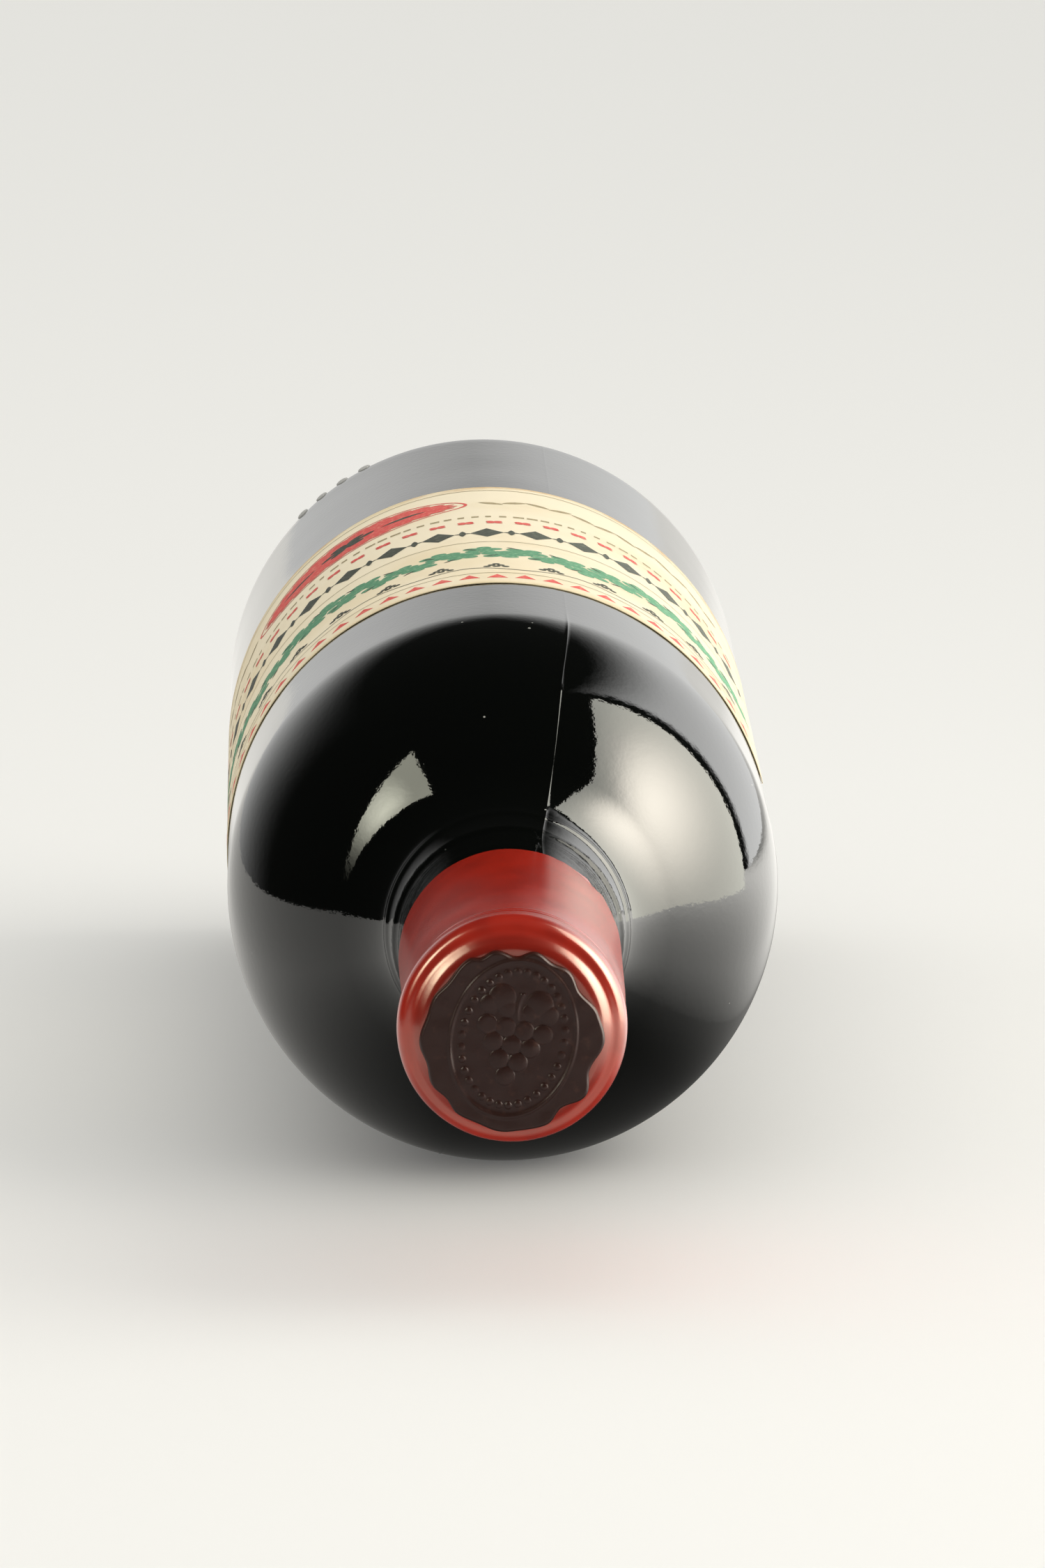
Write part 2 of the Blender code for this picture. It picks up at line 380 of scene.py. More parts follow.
@dataclass(frozen=True)
class LabelPaper:
    """Uncoated laid paper, toned by age.

    The eye gets a matt cream, warmer towards the edges and stained at the far one, with a felt grain.
    The real fibres, about 0.1 mm apart, are too fine to show and are drawn fibre_mm apart.
    """

    cream: str = "EFE3C6"
    toned: str = "E0CB9F"
    stain: str = "BE8E52"
    edge: str = "D6C79F"
    roughness: float = 0.82
    gloss: float = 0.3
    ior: float = 1.45
    fray_mm: float = 3.0
    warmth_mm: float = 9.0
    blotch_mm: float = 22.0
    stain_mm: float = 7.0
    fibre_mm: float = 0.5
    fibre_depth_mm: float = 0.03

    def make(self, near: float, far: float) -> bpy.types.Material:
        """Builds the paper.

        Args:
            near: world Y of the label's edge towards the neck, in metres.
            far: world Y of its other edge, in metres.

        Returns:
            The material.
        """
        s = Shader("aged_label_paper")
        place = s.add("TexCoord", output="Object")
        y = s.add("SeparateXYZ", (place,), "Y")
        from_near = s.add("Math", (y, near), operation="SUBTRACT")
        from_far = s.add("Math", (far, y), operation="SUBTRACT")
        to_edge = s.add("Math", (from_near, from_far), operation="MINIMUM")
        rough = s.add("TexNoise", {"Vector": place, "Scale": per_mm(self.fray_mm)})
        frayed = s.add("Math", (rough, 0.6 * MM, to_edge), operation="MULTIPLY_ADD")
        cut = s.add("MapRange", (frayed, 0.8 * MM, 0.3 * MM, 0.0, 0.7), **SMOOTH)
        uneven = s.add("TexNoise", {"Vector": place, "Scale": per_mm(self.warmth_mm), "Detail": 4.0})
        ragged = s.add("Math", (uneven, 8 * MM, to_edge), operation="MULTIPLY_ADD")
        warm = s.add("MapRange", (ragged, 9 * MM, 3 * MM, 0.0, 0.8), **SMOOTH)
        clouds = s.add("TexNoise", {"Vector": place, "Scale": per_mm(self.blotch_mm), "Detail": 3.0})
        blotch = s.add("MapRange", (clouds, 0.4, 0.75, 0.0, 0.5), **SMOOTH)
        aged = s.add("Math", (warm, blotch), operation="MAXIMUM")
        tone = s.add("Mix", {0: aged, 6: linear(self.cream), 7: linear(self.toned)}, 2, **COLOURS)
        pool = {"Vector": place, "Scale": per_mm(self.stain_mm), "Detail": 5.0, "Roughness": 0.6}
        seep = s.add("Math", (s.add("TexNoise", pool), 12 * MM, from_far), operation="MULTIPLY_ADD")
        wet = s.add("MapRange", (seep, 8.5 * MM, 4.5 * MM, 0.0, 0.75), **SMOOTH)
        stained = s.add("Mix", {0: wet, 6: tone, 7: linear(self.stain)}, 2, **COLOURS)
        colour = s.add("Mix", {0: cut, 6: stained, 7: linear(self.edge)}, 2, **COLOURS)
        felt = {"Vector": place, "Scale": per_mm(self.fibre_mm), "Detail": 4.0, "Roughness": 0.7}
        height = s.add("TexNoise", felt)
        fibres = s.add("Bump", {"Distance": self.fibre_depth_mm * MM, "Height": height, "Strength": 1.0})
        s.set(Base_Color=colour, Normal=fibres, Roughness=self.roughness)
        s.set(IOR=self.ior, Specular_IOR_Level=self.gloss)
        return s.material


@dataclass(frozen=True)
class PrintingInk:
    """Litho ink in uncoated paper. The eye gets a matt colour that the paper's grain breaks up.

    Args:
        name: the material's name.
        colour: the ink.
        thin: the ink where the paper took less of it.
        grain_mm: size of the paper's grain, drawn coarser than the real 0.1 mm so that it shows.
    """

    name: str
    colour: str
    thin: str
    grain_mm: float = 0.7

    def make(self) -> bpy.types.Material:
        """Builds the ink.

        Returns:
            The material.
        """
        s = Shader(self.name)
        felt = {"Scale": per_mm(self.grain_mm), "Detail": 3.0, "Roughness": 0.6}
        grain = s.add("TexNoise", {"Vector": s.add("TexCoord", output="Object"), **felt})
        worn = s.add("MapRange", (grain, 0.45, 0.75), **SMOOTH)
        colour = s.add("Mix", {0: worn, 6: linear(self.colour), 7: linear(self.thin)}, 2, **COLOURS)
        s.set(Base_Color=colour, Roughness=0.7, IOR=1.45)
        return s.material


INKS = {
    Ink.RED: PrintingInk("red_litho_ink", "D8433C", "E58A76"),
    Ink.GREEN: PrintingInk("green_litho_ink", "4A8C66", "7FAE86"),
    Ink.BLACK: PrintingInk("black_litho_ink", "343A31", "5A5F50"),
    Ink.SEPIA: PrintingInk("sepia_litho_ink", "9A8A62", "BBAC84"),
}


def arc(centre: Pair, radius: float, start: float, end: float, steps: int) -> list[Pair]:
    """Points on an arc of a turned profile.

    Args:
        centre: (along, radius) of the arc's centre.
        radius: the arc's own radius.
        start: first angle in degrees; 90 points away from the axis.
        end: last angle in degrees.
        steps: number of stretches.

    Returns:
        The points, as (along, radius).
    """
    angles = [math.radians(start + (end - start) * i / steps) for i in range(steps + 1)]
    return [(centre[0] + radius * math.cos(a), centre[1] + radius * math.sin(a)) for a in angles]


def straight(start: Pair, end: Pair, steps: int) -> list[Pair]:
    """Points on a straight stretch of a turned profile, without its first point.

    Args:
        start: (along, radius) of the start.
        end: (along, radius) of the end.
        steps: number of stretches.

    Returns:
        The points, as (along, radius).
    """
    shares = [i / steps for i in range(1, steps + 1)]
    return [(start[0] + (end[0] - start[0]) * t, start[1] + (end[1] - start[1]) * t) for t in shares]


def rotated(x: float, y: float, turn: float) -> Pair:
    """The point (x, y) turned round (0, 0) by an angle."""
    return (x * math.cos(turn) - y * math.sin(turn), x * math.sin(turn) + y * math.cos(turn))


def smooth_through(points: Sequence[Pair], steps: int) -> list[Pair]:
    """A smooth curve through points of a profile.

    Args:
        points: the (along, radius) points.
        steps: number of stretches between neighbours.

    Returns:
        The denser points, with both ends.
    """
    padded = [points[0], *points, points[-1]]
    made = []
    for a, b, c, d in zip(padded, padded[1:], padded[2:], padded[3:]):
        for i in range(steps):
            t = i / steps
            weights = (-t + 2 * t**2 - t**3, 2 - 5 * t**2 + 3 * t**3, t + 4 * t**2 - 3 * t**3, t**3 - t**2)
            made.append(tuple(sum(w * p[k] for w, p in zip(weights, (a, b, c, d))) / 2 for k in (0, 1)))
    return made + [points[-1]]


def mesh_object(name: str, bm: bmesh.types.BMesh, sharp: float = 40.0) -> bpy.types.Object:
    """Turns a bmesh into a smooth-shaded object.

    Args:
        name: the object's name.
        bm: the mesh, which is freed.
        sharp: edges steeper than this angle in degrees stay sharp.

    Returns:
        The object, linked to the scene.
    """
    mesh = bpy.data.meshes.new(name)
    bm.to_mesh(mesh)
    bm.free()
    mesh.shade_smooth()
    mesh.set_sharp_from_angle(angle=math.radians(sharp))
    obj = bpy.data.objects.new(name, mesh)
    bpy.context.scene.collection.objects.link(obj)
    return obj


def grid_faces(bm: bmesh.types.BMesh, rows: Sequence[Sequence[bmesh.types.BMVert]], closed: bool) -> None:
    """Fills quads between neighbouring rows of points.

    Args:
        bm: the mesh.
        rows: rows of equal length.
        closed: whether each row is a ring.
    """
    count = len(rows[0])
    for low, high in zip(rows, rows[1:]):
        for i in range(count if closed else count - 1):
            j = (i + 1) % count
            bm.faces.new((low[i], low[j], high[j], high[i]))


def turned(
    name: str, profile: Sequence[Pair], angles: Callable[[float], list[float]],
    offset: Callable[[float, float, float], float],
) -> bpy.types.Object:
    """Turns a profile round the axis, with a closing point at each end.

    Args:
        name: the object's name.
        profile: (along, radius) points; the first and the last lie on the axis.
        angles: radius to the angles of the points round that ring.
        offset: (along, radius, angle) to how far the surface stands out there.

    Returns:
        The object.
    """
    bm = bmesh.new()
    rings = []
    for along, radius in profile[1:-1]:
        places = [(radius + offset(along, radius, angle), angle) for angle in angles(radius)]
        rings.append([bm.verts.new(FRAME.point(along, *place)) for place in places])
    grid_faces(bm, rings, closed=True)
    for end, ring in ((profile[0], rings[0]), (profile[-1], rings[-1])):
        tip = bm.verts.new(FRAME.centre(end[0]))
        for i, vert in enumerate(ring):
            bm.faces.new((tip, vert, ring[(i + 1) % len(ring)]))
    bmesh.ops.recalc_face_normals(bm, faces=bm.faces)
    return mesh_object(name, bm)


def dress(obj: bpy.types.Object, slot: Slot, replaced: Iterable[str], *materials: bpy.types.Material) -> None:
    """Gives a piece its materials and body, and hides the CAD nodes it stands for.

    Args:
        obj: the piece.
        slot: the record's material slot; not used.
        replaced: names of the CAD nodes.
        materials: the materials, in slot order.
    """
    for material in materials:
        obj.data.materials.append(material)
    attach(obj, "root")
    if replaced:
        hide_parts(*replaced)
    LOG.info("%s: %d faces", obj.name, len(obj.data.polygons))


@dataclass
class GlassBottle:
    """The moulded bottle: neck, shoulder, body, heel and punt, with its mould seam and heel dots.

    lip_step, foot_roll and punt_edge are (along, outward) from the lip's end, the foot and the punt's edge.
    The seam's twist starts at the first of seam_twist_radii, and is whole one second of them further in.
    The seam is whole before the first of seam_fade and sinks to seam_faint of its height by the other.
    """

    shoulder_start: float = 114.4
    shoulder_radius: float = 38.0
    neck_root_radius: float = 20.0
    neck_at_root: float = 14.5
    neck_at_top: float = 13.6
    lip_radius: float = 13.2
    lip_start: float = 2.6
    lip_end: float = 6.0
    lip_edge: float = 2.0
    lip_step: Pair = (1.2, -0.3)
    waist: float = 10.6
    waist_dip: float = 0.2
    base: float = 300.0
    heel_radius: float = 9.0
    foot_radius: float = 27.5
    foot_roll: tuple[Pair, ...] = ((-0.9, 2.6), (-0.3, 1.2), (0.0, 0.0))
    punt_edge: Pair = (-0.4, 1.0)
    punt_radius: float = 24.0
    punt_depth: float = 24.0
    punt_flare: float = 0.8
    punt_steps: int = 24
    ring_along: float = 76.4
    ring_height: float = 0.16
    ring_width: float = 0.5
    seam_angle: float = math.radians(13.6)
    seam_twist: float = math.radians(4.4)
    seam_twist_radii: Pair = (34.0, 17.0)
    seam_twist_curve: float = 1.4
    seam_height: float = 0.06
    seam_width: float = 0.12
    seam_faint: float = 0.15
    seam_fade: Pair = (112.0, 124.0)
    seam_offsets: tuple[float, ...] = (-0.5, -0.22, -0.1, 0.0, 0.1, 0.22, 0.5)
    least_radius: float = 6.0
    columns: int = 128
    wave: float = 0.035
    wave_length: float = 14.0
    dot_count: int = 4
    dot_along: float = 292.6
    dot_radius: float = 1.0
    dot_height: float = 0.3
    dot_sunk: float = 0.05
    dot_first: float = math.radians(-28.1)
    dot_step: float = math.radians(-5.8)

    def profile(self) -> list[Pair]:
        """The outline from the lip's centre round to the punt's tip.

        Returns:
            The (along, radius) points.
        """
        body = FRAME.radius
        convex = (self.shoulder_start, body - self.shoulder_radius)
        rise = self.neck_at_root + self.neck_root_radius - convex[1]
        reach = self.shoulder_radius + self.neck_root_radius
        concave = (self.shoulder_start - math.sqrt(reach**2 - rise**2), convex[1] + rise)
        lean = math.degrees(math.acos(rise / reach))
        lip = (self.lip_start + self.lip_edge, self.lip_radius - self.lip_edge)
        step = (self.lip_end + self.lip_step[0], self.neck_at_top + self.lip_step[1])
        waist = (self.waist, self.neck_at_top - self.waist_dip)
        heel = (self.base - self.heel_radius, body - self.heel_radius)
        points = [(self.lip_start, 0.0)] + arc(lip, self.lip_edge, 180, 90, 6)
        points += [(self.lip_end, self.lip_radius), step, waist]
        points += straight(waist, (concave[0], self.neck_at_root), 20)
        points += arc(concave, self.neck_root_radius, -90, -90 + lean, 60)[1:]
        points += arc(convex, self.shoulder_radius, 90 + lean, 90, 40)[1:]
        points += straight((self.shoulder_start, body), (heel[0], body), 60)
        points += arc(heel, self.heel_radius, 90, 30, 12)[1:]
        points += [(self.base + along, self.foot_radius + out) for along, out in self.foot_roll]
        return points + [(self.base, self.punt_radius + self.punt_edge[1])] + self.punt()

    def punt(self) -> list[Pair]:
        """The stretch from the foot's inner edge up the inside of the punt to its tip.

        Returns:
            The (along, radius) points.
        """
        points = []
        for i in range(self.punt_steps + 1):
            t = i / self.punt_steps
            rise = self.punt_depth * (0.5 - 0.5 * math.cos(math.pi * t)) ** self.punt_flare
            points.append((self.base + self.punt_edge[0] - rise, self.punt_radius * (1 - t)))
        return points

    def angles(self, radius: float) -> list[float]:
        """Angles round a ring: even columns, and a close set across each of the two seams.

        Args:
            radius: the ring's radius.

        Returns:
            The angles, in order round the ring.
        """
        turns = []
        across = max(radius, self.least_radius)
        margin = self.seam_offsets[-1] / across
        span = math.pi - 2 * margin
        for side in (0.0, math.pi):
            seam = self.seam(radius) + side
            turns += [seam + offset / across for offset in self.seam_offsets]
            turns += [seam + margin + span * i / self.columns for i in range(1, self.columns)]
        return turns

    def offset(self, along: float, radius: float, angle: float) -> float:
        """How far the seam, the ring at the neck's root and the glass's slow waviness stand out.

        Args:
            along: distance from the capsule's top.
            radius: the ring's radius.
            angle: angle round the bottle.

        Returns:
            The height in millimetres.
        """
        seam = self.seam(radius)
        across = min(abs(math.remainder(angle - seam - side, 2 * math.pi)) for side in (0.0, math.pi))
        ridge = self.seam_height * math.exp(-((across * radius / self.seam_width) ** 2))
        if along < self.waist or along > self.base - 3:
            ridge = 0.0
        start, end = self.seam_fade
        ridge *= min(max((end - along) / (end - start), self.seam_faint), 1.0)
        ridge += self.ring_height * math.exp(-(((along - self.ring_along) / self.ring_width) ** 2))
        place = Vector((radius * math.cos(angle), along, radius * math.sin(angle))) / self.wave_length
        return ridge + self.wave * noise.noise(place)

    def seam(self, radius: float) -> float:
        """Angle of the seam, which leans further over towards the neck."""
        share = min(max((self.seam_twist_radii[0] - radius) / self.seam_twist_radii[1], 0.0), 1.0)
        return self.seam_angle + self.seam_twist * share**self.seam_twist_curve

    def dots(self, bm: bmesh.types.BMesh) -> None:
        """Adds the row of raised mould dots to the heel.

        Args:
            bm: the bottle's mesh.
        """
        size = (self.dot_radius * MM, self.dot_radius * MM, self.dot_height * MM)
        for i in range(self.dot_count):
            angle = self.dot_first + i * self.dot_step
            made = bmesh.ops.create_uvsphere(bm, u_segments=20, v_segments=12, radius=1.0)["verts"]
            centre = FRAME.point(self.dot_along, FRAME.radius - self.dot_sunk, angle)
            turn = Vector((math.sin(angle), 0.0, math.cos(angle))).to_track_quat("Z", "Y")
            for vert in made:
                vert.co = centre + turn @ (vert.co * Vector(size))

    def build(self) -> None:
        """Builds the bottle and dresses it."""
        obj = turned("bottle_glass", self.profile(), self.angles, self.offset)
        for vert in obj.data.vertices:
            vert.co.z = max(vert.co.z, 0.0)
        bm = bmesh.new()
        bm.from_mesh(obj.data)
        plain = len(bm.faces)
        self.dots(bm)
        for i, face in enumerate(bm.faces):
            face.smooth = True
            face.material_index = int(i >= plain)
        bm.to_mesh(obj.data)
        bm.free()
        # The mould dots get a pale grey, a painted highlight.
        dress(obj, Slot.GLASS, ["glass_bottle"], BottleGlass().make(), DotHighlightGlass().make())


@dataclass
class Capsule:
    """The red skin over the lip and neck, with a rolled bead, spun grooves and a cut hem.

    top is the rolled bead as (along, radius), and a groove is (along, depth, half width). lean is how far
    the lip lies off the axis, to +X and up.
    """

    length: float = 55.0
    ring_radius: float = 15.08
    waist_radius: float = 14.55
    hem_radius: float = 14.95
    top: tuple[Pair, ...] = (
        (0.0, 10.6), (0.03, 11.1), (0.13, 11.5), (0.3, 11.9), (0.55, 12.25), (0.85, 12.6), (1.1, 12.88),
        (1.28, 13.15), (1.39, 13.4), (1.46, 13.65), (1.54, 13.9), (1.67, 14.15), (1.88, 14.4), (2.2, 14.65),
        (2.65, 14.86), (3.2, 15.0), (3.9, 15.07), (4.6, 15.08),
    )
    bead_end: float = 6.0
    waist: float = 8.6
    flare_start: float = 16.0
    flare: float = 0.06
    skin: float = 0.45
    cut_skin: float = 0.2
    inner_lip: tuple[Pair, ...] = ((1.9, 13.2), (0.45, 10.2), (0.45, 0.0))
    grooves: tuple[tuple[float, float, float], ...] = (
        (7.6, 0.18, 0.28), (9.0, 0.10, 0.25), (10.1, 0.07, 0.25),
    )
    columns: int = 240
    dent: float = 0.05
    pleat: float = 0.22
    pleats_start: float = 3.2
    hem_wave: float = 0.2
    hem_torn: float = 3.0
    crumple_angle: float = math.radians(46.0)
    crumple_width: float = 0.38
    lean: Pair = (-0.67, -0.2)
    lean_end: float = 22.0

    def groove(self, along: float) -> float:
        """Depth of the spun lines just behind the bead, below zero."""
        return -sum(depth * math.exp(-(((along - at) / wide) ** 2)) for at, depth, wide in self.grooves)

    def profile(self) -> list[Pair]:
        """The outer face from the top's centre to the hem, then the inner face back to the axis.

        Returns:
            The (along, radius) points.
        """
        bead = (self.bead_end, self.ring_radius)
        waist = (self.waist, self.waist_radius)
        flare = (self.flare_start, self.waist_radius + self.flare)
        outer = [(0.0, 0.0)] + straight((0.0, 0.0), self.top[0], 6)
        outer += smooth_through(self.top, 3)[1:] + straight(self.top[-1], bead, 4)
        neck = straight(bead, waist, 16) + straight(waist, flare, 40)
        neck += straight(flare, (self.length, self.hem_radius), 40)
        outer += [(along, radius + self.groove(along)) for along, radius in neck]
        inner = [(self.length, self.hem_radius - self.cut_skin)]
        inner += [(along, self.waist_radius - self.skin) for along in (self.flare_start, self.waist)]
        inner += [(along, self.ring_radius - self.skin) for along in (self.bead_end, 3.4)]
        return outer + inner + list(self.inner_lip)

    def angles(self, radius: float) -> list[float]:
        """Even angles round a ring, the same at every radius."""
        return [2 * math.pi * i / self.columns for i in range(self.columns)]

    def offset(self, along: float, radius: float, angle: float) -> float:
        """Small dents and pleats in the skin, strongest towards the hem.

        Args:
            along: distance from the capsule's top.
            radius: the ring's radius.
            angle: angle round the bottle.

        Returns:
            How far the skin stands out, in millimetres.
        """
        if radius < self.waist_radius - 0.3:
            return 0.0
        x, y = math.cos(angle), math.sin(angle)
        dent = self.dent * min(along / self.bead_end, 1.0)
        dent *= noise.noise(Vector((x * 2.2, along / 9.0, y * 2.2)))
        near_hem = min(max((along - self.length + self.pleats_start) / 2.4, 0.0), 1.0)
        pleat = self.pleat * near_hem * self.crumpled(math.remainder(angle, 2 * math.pi))
        return dent + pleat * noise.noise(Vector((x * 9.0, along / 1.4, y * 9.0)))

    def settle(self, obj: bpy.types.Object) -> None:
        """Pulls the cut hem in and out, most where it is crumpled, and sets the lip a little off the axis.

        Args:
            obj: the capsule.
        """
        hem = (FRAME.top + self.length) * MM
        for vert in obj.data.vertices:
            if abs(vert.co.y - hem) < 0.4 * MM:
                angle = math.atan2(vert.co.x, vert.co.z - FRAME.axis * MM)
                place = Vector((math.cos(angle) * 4.0, math.sin(angle) * 4.0, 3.0))
                torn = 1 + self.hem_torn * self.crumpled(angle)
                vert.co.y -= self.hem_wave * torn * (0.5 + noise.noise(place)) * MM
            share = min(max(1 - (vert.co.y / MM - FRAME.top) / self.lean_end, 0.0), 1.0)
            share = share * share * (3 - 2 * share)
            vert.co += Vector((self.lean[0], 0.0, self.lean[1])) * (share * MM)

    def crumpled(self, angle: float) -> float:
        """How far the skin at that angle belongs to the crumpled part of the hem, from 0 to 1."""
        return math.exp(-(((angle - self.crumple_angle) / self.crumple_width) ** 2))

    def build(self) -> None:
        """Builds the capsule and dresses it."""
        obj = turned("neck_capsule", self.profile(), self.angles, self.offset)
        self.settle(obj)
        dress(obj, Slot.CAPSULE, ["capsule"], CapsuleLacquer().make())


@dataclass
class Seal:
    """The pressed wax disc on the capsule's top: a scalloped rim, an oval line, beads and a vine bunch.

    line is the oval line's (half width, height), and moat the dip outside it as (distance, depth, half
    width). bead and berry are (radius, height), a leaf is (across, up, radius, height), and the rim is
    (degrees, radius) at each notch and lobe.
    """

    gap: float = 0.1
    thickness: float = 1.0
    centre: Pair = (-0.67, -1.3)
    tilt: float = math.radians(-12.0)
    oval: Pair = (8.15, 10.4)
    oval_rise: float = 0.5
    line: Pair = (0.26, 0.26)
    moat: tuple[float, float, float] = (0.75, 0.12, 0.4)
    stem: Pair = (0.25, 0.3)
    beads: int = 34
    bead: Pair = (0.5, 0.26)
    bead_inset: float = 1.5
    berry: Pair = (1.3, 0.36)
    bunch: tuple[int, ...] = (4, 3, 2, 1)
    leaf: tuple[tuple[float, float, float, float], ...] = (
        (2.5, 5.6, 1.8, 0.34), (3.9, 4.5, 1.3, 0.3), (1.6, 4.4, 1.2, 0.3),
    )
    wear: float = 0.25
    swell: float = 0.11
    rim_round: float = 0.45
    rim: tuple[Pair, ...] = (
        (3, 11.2), (15, 12.2), (28, 11.6), (38, 11.9), (54, 11.0), (72, 11.8), (88, 12.1), (110, 10.8),
        (127, 12.0), (144, 10.9), (158, 11.9), (174, 11.8), (187, 12.0), (204, 11.7), (217, 11.9),
        (229, 11.4), (242, 11.9), (255, 11.5), (270, 12.1), (288, 11.6), (300, 11.8), (312, 11.5),
        (333, 12.3), (340, 11.8), (349, 12.2),
    )
    rings: int = 120
    columns: int = 540

    def edge(self, angle: float) -> float:
        """Radius of the lobed rim.

        Args:
            angle: angle in the seal's own axes.

        Returns:
            The radius in millimetres.
        """
        turn = math.degrees(math.pi / 2 - angle - self.tilt) % 360
        for (start, low), (end, high) in zip(self.rim, self.rim[1:] + self.rim[:1]):
            share = (turn - start) % 360 / ((end - start) % 360)
            if share <= 1:
                return low + (high - low) * (0.5 - 0.5 * math.cos(math.pi * share))
        raise ValueError(angle)

    def bumps(self) -> list[tuple[float, float, float, float]]:
        """Round bosses of the relief: berries, leaves and the ring of beads.

        Returns:
            Each boss as (across, up, radius, height).
        """
        made = []
        for row, count in enumerate(self.bunch):
            made += [((i - (count - 1) / 2) * 2.45, 1.8 - row * 2.1, *self.berry) for i in range(count)]
        for side in (-1, 1):
            made += [(side * across, *rest) for across, *rest in self.leaf]
        wide, tall = self.oval[0] - self.bead_inset, self.oval[1] - self.bead_inset
        for i in range(self.beads):
            a = 2 * math.pi * i / self.beads
            made.append((wide * math.sin(a), tall * math.cos(a) + self.oval_rise, *self.bead))
        return made

    def height(self, across: float, up: float, bumps: Sequence[tuple[float, float, float, float]]) -> float:
        """Height of the relief above the disc's face.

        Args:
            across: place on the seal, to its right.
            up: place on the seal, upwards.
            bumps: the bosses.

        Returns:
            The height in millimetres.
        """
        reach = math.hypot(across / self.oval[0], (up - self.oval_rise) / self.oval[1])
        to_oval = (reach - 1) * min(self.oval)
        at, depth, wide = self.moat
        top = self.line[1] * math.exp(-((to_oval / self.line[0]) ** 2))
        top -= depth * math.exp(-(((to_oval - at) / wide) ** 2))
        for x, y, radius, rise in bumps:
            near = 1 - ((across - x) ** 2 + (up - y) ** 2) / radius**2
            if near > 0:
                top = max(top, rise * math.sqrt(near))
        from_stem = abs(across - 0.25 * math.sin(up)) if 3.0 < up < 6.6 else 1.0
        top = max(top, self.stem[0] * math.exp(-((from_stem / self.stem[1]) ** 2)))
        worn = 1 - self.wear + 2 * self.wear * noise.noise(Vector((across, up, 4.0)) * 0.35)
        return top * worn + self.swell * noise.noise(Vector((across, up, 0.0)) * 0.4)

    def point(self, across: float, up: float, height: float) -> Vector:
        """A point on the seal, which faces -Y.

        Args:
            across: place on the seal, to its right.
            up: place on the seal, upwards.
            height: distance from its back.

        Returns:
            The world position in metres.
        """
        x, z = rotated(across, up, self.tilt)
        x, z = self.centre[0] + x, FRAME.axis + self.centre[1] + z
        return Vector((x, FRAME.top - self.gap - height, z)) * MM

    def build(self) -> None:
        """Builds the seal as rings of points round its centre, and dresses it."""
        bm = bmesh.new()
        bumps = self.bumps()
        turns = [2 * math.pi * i / self.columns for i in range(self.columns)]
        rims = [(math.cos(a), math.sin(a), self.edge(a)) for a in turns]
        rows = []
        for k in range(1, self.rings + 1):
            row = []
            for x, y, rim in rims:
                radius = rim * k / self.rings
                fall = max(0.0, (radius - (rim - self.rim_round)) / self.rim_round)
                height = self.thickness + self.height(radius * x, radius * y, bumps)
                height -= self.thickness * 0.75 * (1 - math.sqrt(max(0.0, 1 - fall**2)))
                row.append(bm.verts.new(self.point(radius * x, radius * y, height)))
            rows.append(row)
        back = [bm.verts.new(self.point(rim * x, rim * y, 0.0)) for x, y, rim in rims]
        grid_faces(bm, [*rows, back], closed=True)
        tip = bm.verts.new(self.point(0.0, 0.0, self.thickness + self.height(0.0, 0.0, bumps)))
        for i in range(self.columns):
            bm.faces.new((tip, rows[0][i], rows[0][(i + 1) % self.columns]))
        bm.faces.new(back[::-1])
        bmesh.ops.recalc_face_normals(bm, faces=bm.faces)
        dress(mesh_object("pressed_seal", bm, 60), Slot.SEAL, ["seal"], PressedWax().make())


